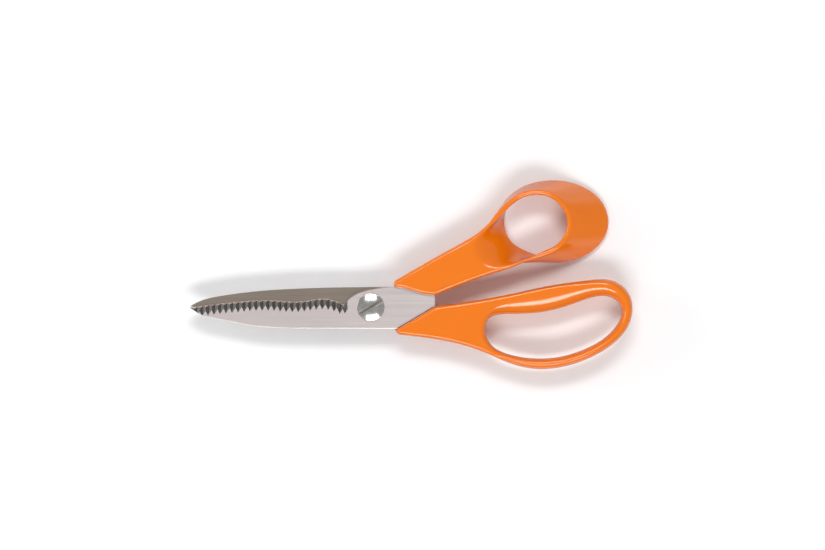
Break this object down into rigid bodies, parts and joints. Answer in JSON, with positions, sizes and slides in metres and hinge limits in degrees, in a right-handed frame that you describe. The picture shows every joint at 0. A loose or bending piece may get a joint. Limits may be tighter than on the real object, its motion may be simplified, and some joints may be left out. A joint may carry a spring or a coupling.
{
  "type": "pinking shears",
  "caption": "Shears with V-toothed stainless blades on a slotted screw pivot, a flared round thumb bow and a long multi-finger bow, for cutting fabric with a toothed edge.",
  "frame": {"origin": "on the pivot axis, in the plane of the rear blade's back face", "axes": "+X from the pivot towards the handles, the closed blades pointing along -X; +Y towards the thumb bow's side; +Z along the pivot towards the screw head"},
  "size_m": [0.2095, 0.0898, 0.018],
  "materials": {
    "blade_steel": "satin, ground along the blade",
    "screw_steel": "polished",
    "fastener_steel": "zinc-bright",
    "handle_plastic": "smooth moulded",
    "bearing_plastic": "natural"
  },
  "bodies": {
    "rear_half": {"rear_blade": "blade_steel", "finger_handle": "handle_plastic", "pivot_screw": "screw_steel", "pivot_nut": "fastener_steel", "spring_washer": "fastener_steel", "bearing_washer": "bearing_plastic"},
    "front_half": {"front_blade": "blade_steel", "thumb_handle": "handle_plastic"}
  },
  "joints": [
    {"name": "pivot", "type": "hinge", "parent": "rear_half", "child": "front_half", "pos_m": [0, 0, 0], "axis": [0, 0, 1], "range_deg": [0, 75]}
  ]
}
